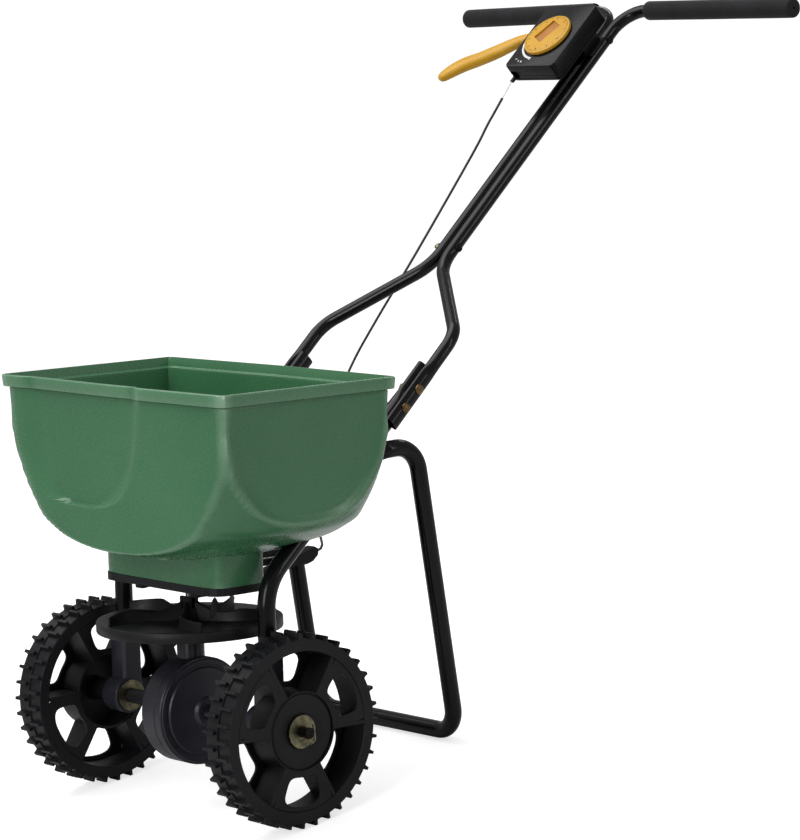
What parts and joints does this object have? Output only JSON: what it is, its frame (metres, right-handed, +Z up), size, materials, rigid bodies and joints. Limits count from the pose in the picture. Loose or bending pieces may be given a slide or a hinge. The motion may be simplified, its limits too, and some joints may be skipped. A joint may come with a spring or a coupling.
{
  "type": "garden spreader",
  "caption": "Walk-behind broadcast spreader: green hopper on two driven wheels with a spinning plate, tube frame, stand, foam grips, setting dial and shut-off lever.",
  "frame": {"origin": "middle of the footprint, on the floor the wheels and the stand rest on", "axes": "+Z up, +Y from the hopper's front towards the handle, X across with the lever on the -X side"},
  "size_m": [0.585, 0.9539, 0.8052],
  "materials": {
    "hopper_green": "moulded green polyethylene, semi-gloss",
    "black_paint": "black powder coat on steel tube, satin gloss",
    "black_plastic": "moulded black plastic, fine grain",
    "grey_plastic": "moulded dark grey plastic",
    "foam": "closed-cell charcoal foam sleeve",
    "zinc": "yellow zinc plated steel",
    "steel": "bare drawn steel",
    "yellow_plastic": "moulded yellow-orange plastic, semi-gloss",
    "white_liner": "white plastic coated wire"
  },
  "bodies": {
    "chassis": {"axle_block_left": "black_plastic", "axle_block_right": "black_plastic", "axle_sleeve_left": "black_plastic", "axle_sleeve_right": "black_plastic", "base_plate": "black_plastic", "block_washer_left": "zinc", "block_washer_right": "zinc", "box_base": "black_plastic", "box_bracket": "black_paint", "box_cover": "black_plastic", "cable": "black_plastic", "frame_bolt_left_1": "zinc", "frame_bolt_left_2": "zinc", "frame_bolt_right_1": "zinc", "frame_bolt_right_2": "zinc", "frame_nut_left_1": "zinc", "frame_nut_left_2": "zinc", "frame_nut_right_1": "zinc", "frame_nut_right_2": "zinc", "frame_tube_left": "black_paint", "frame_tube_right": "black_paint", "gear_case_left": "black_plastic", "gear_case_right": "black_plastic", "grip_left": "foam", "grip_right": "foam", "handle_bolt_1": "zinc", "handle_bolt_2": "zinc", "handle_nut_1": "zinc", "handle_nut_2": "zinc", "handle_tube_left": "black_paint", "handle_tube_right": "black_paint", "hopper": "hopper_green", "lever_pin": "steel", "shaft_cap": "black_plastic", "stand": "black_paint", "stand_bolt_left": "zinc", "stand_bolt_right": "zinc", "wheel_spacer_left": "black_plastic", "wheel_spacer_right": "black_plastic"},
    "drive": {"axle": "steel", "drive_gear": "grey_plastic", "wheel_left": "black_plastic", "wheel_washer_left": "zinc", "wheel_washer_right": "zinc", "cotter_left": "zinc", "cotter_right": "zinc"},
    "idler": {"wheel_right": "black_plastic"},
    "spinner": {"impeller": "grey_plastic", "impeller_shaft": "steel", "pinion": "grey_plastic", "agitator": "steel"},
    "lever": {"lever": "yellow_plastic"},
    "puller": {"cable_slider": "black_plastic", "wire_top": "white_liner"},
    "gate": {"gate_plate": "zinc", "gate_arm": "black_plastic", "gate_post": "black_plastic", "wire_gate": "steel"},
    "dial": {"dial": "yellow_plastic"}
  },
  "joints": [
    {"name": "wheel_drive", "type": "hinge", "parent": "chassis", "child": "drive", "pos_m": [0, -0.36695, 0.11], "axis": [1, 0, 0], "continuous": true},
    {"name": "wheel_idle", "type": "hinge", "parent": "chassis", "child": "idler", "pos_m": [0, -0.36695, 0.11], "axis": [1, 0, 0], "continuous": true},
    {"name": "spinner_spin", "type": "hinge", "parent": "chassis", "child": "spinner", "pos_m": [0, -0.36695, 0.11], "axis": [0, 0.1502, 0.9886], "continuous": true},
    {"name": "lever_turn", "type": "hinge", "parent": "chassis", "child": "lever", "pos_m": [0.01, 0.36827, 0.78129], "axis": [0, 0.5626, -0.8267], "range_deg": [0, 24]},
    {"name": "puller_slide", "type": "slide", "parent": "chassis", "child": "puller", "axis": [0.1665, 0.6414, 0.749], "range_m": [0, 0.02]},
    {"name": "gate_slide", "type": "slide", "parent": "chassis", "child": "gate", "axis": [0, 0.9886, -0.1502], "range_m": [0, 0.02]},
    {"name": "dial_turn", "type": "hinge", "parent": "chassis", "child": "dial", "pos_m": [0, 0.33033, 0.77483], "axis": [0, -0.5626, 0.8267], "range_deg": [-150, 150]}
  ],
  "couplings": [
    {"joint": "spinner_spin", "follows": "wheel_drive", "ratio": -4},
    {"joint": "puller_slide", "follows": "lever_turn", "m_per_rad": 0.0477},
    {"joint": "gate_slide", "follows": "lever_turn", "m_per_rad": 0.0477}
  ]
}
